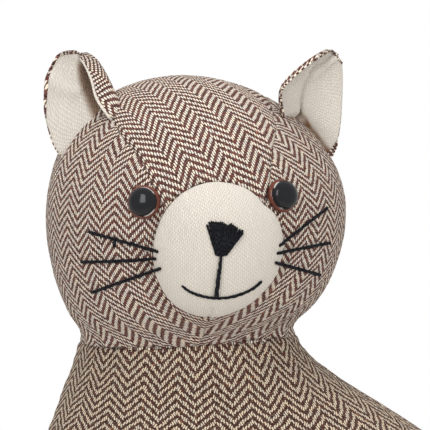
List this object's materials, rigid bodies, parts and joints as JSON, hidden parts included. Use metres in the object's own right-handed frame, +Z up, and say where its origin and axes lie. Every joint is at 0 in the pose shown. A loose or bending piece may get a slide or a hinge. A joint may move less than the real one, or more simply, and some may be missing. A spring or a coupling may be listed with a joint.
{
  "type": "door stop",
  "caption": "Weighted door stop in the shape of a seated stuffed cat in herringbone tweed, with a pale cotton muzzle and ear linings.",
  "frame": {"origin": "middle of the base panel's flat underside", "axes": "+Z up through the body to the head, +X from the chest to the back, -Y the side that the face is turned to"},
  "size_m": [0.2101, 0.1526, 0.2967],
  "materials": {
    "tweed": "herringbone wool tweed of cream and maroon-brown yarn",
    "cotton": "plain-woven undyed cotton",
    "stuffing": "loose polyester fibre",
    "calico": "plain calico",
    "grit": "washed stone grit",
    "amber_plastic": "clear red-brown acrylic",
    "black_plastic": "polished black plastic",
    "white_plastic": "moulded plastic",
    "thread": "black stranded embroidery thread"
  },
  "bodies": {
    "root": {"body_side_near": "tweed", "body_side_far": "tweed", "base_panel": "tweed", "body_stuffing": "stuffing", "weight_bag_upper_panel": "calico", "weight_bag_lower_panel": "calico", "weight_grit": "grit", "tail_cover": "tweed", "tail_stuffing": "stuffing", "forehead_gusset": "tweed", "head_side_left": "tweed", "head_side_right": "tweed", "muzzle_panel": "cotton", "head_stuffing": "stuffing", "left_ear_back": "tweed", "left_ear_lining": "cotton", "right_ear_back": "tweed", "right_ear_lining": "cotton", "left_eye_dome": "amber_plastic", "left_eye_pupil": "black_plastic", "left_eye_washer": "white_plastic", "right_eye_dome": "amber_plastic", "right_eye_pupil": "black_plastic", "right_eye_washer": "white_plastic", "nose_satin_stitch": "thread", "lip_thread": "thread", "mouth_thread": "thread", "left_whisker_upper": "thread", "left_whisker_middle": "thread", "left_whisker_lower": "thread", "right_whisker_upper": "thread", "right_whisker_middle": "thread", "right_whisker_lower": "thread"}
  },
  "joints": []
}
